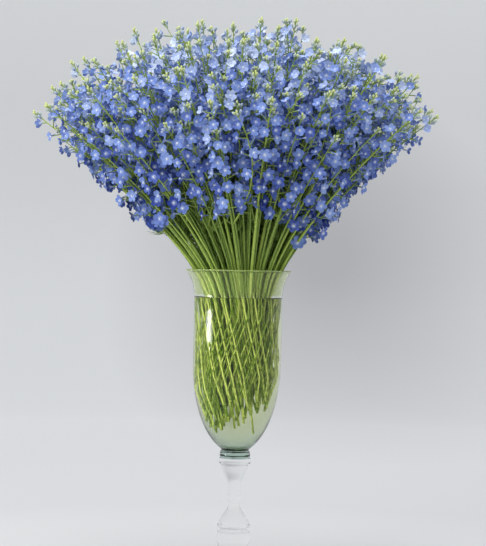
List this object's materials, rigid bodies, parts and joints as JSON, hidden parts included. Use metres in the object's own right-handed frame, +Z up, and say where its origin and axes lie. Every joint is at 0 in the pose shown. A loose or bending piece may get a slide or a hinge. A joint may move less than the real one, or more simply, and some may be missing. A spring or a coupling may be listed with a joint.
{
  "type": "delphinium flower spikes in a footed glass vase",
  "caption": "Round bunch of blue delphinium spikes fanning out of a clear, water-filled glass vase with a flared rim and a baluster foot.",
  "frame": {"origin": "centre of the foot's flat underside", "axes": "+Z up along the vase's axis; the vase is round, so X and Y are any two level directions, with +X to the right and -Y towards the viewer"},
  "size_m": [0.8016, 0.7931, 1.1155],
  "materials": {
    "foot_glass": "polished clear pressed glass",
    "bowl_glass": "polished blown glass, faintly green, darker in the thick base",
    "water": "clear water tinted green by the stems",
    "delphinium": "soft matt blue sepals with pale centres on smooth fresh green stems"
  },
  "bodies": {
    "root": {"vase_pedestal": "foot_glass", "vase_bowl": "bowl_glass", "water": "water", "spike_01": "delphinium", "spike_02": "delphinium", "spike_03": "delphinium", "spike_04": "delphinium", "spike_05": "delphinium", "spike_06": "delphinium", "spike_07": "delphinium", "spike_08": "delphinium", "spike_09": "delphinium", "spike_10": "delphinium", "spike_11": "delphinium", "spike_12": "delphinium", "spike_13": "delphinium", "spike_14": "delphinium", "spike_15": "delphinium", "spike_16": "delphinium", "spike_17": "delphinium", "spike_18": "delphinium", "spike_19": "delphinium", "spike_20": "delphinium", "spike_21": "delphinium", "spike_22": "delphinium", "spike_23": "delphinium", "spike_24": "delphinium", "spike_25": "delphinium", "spike_26": "delphinium", "spike_27": "delphinium", "spike_28": "delphinium", "spike_29": "delphinium", "spike_30": "delphinium", "spike_31": "delphinium", "spike_32": "delphinium", "spike_33": "delphinium", "spike_34": "delphinium", "spike_35": "delphinium", "spike_36": "delphinium", "spike_37": "delphinium", "spike_38": "delphinium", "spike_39": "delphinium", "spike_40": "delphinium", "spike_41": "delphinium", "spike_42": "delphinium", "spike_43": "delphinium", "spike_44": "delphinium", "spike_45": "delphinium", "spike_46": "delphinium", "spike_47": "delphinium", "spike_48": "delphinium"}
  },
  "joints": []
}
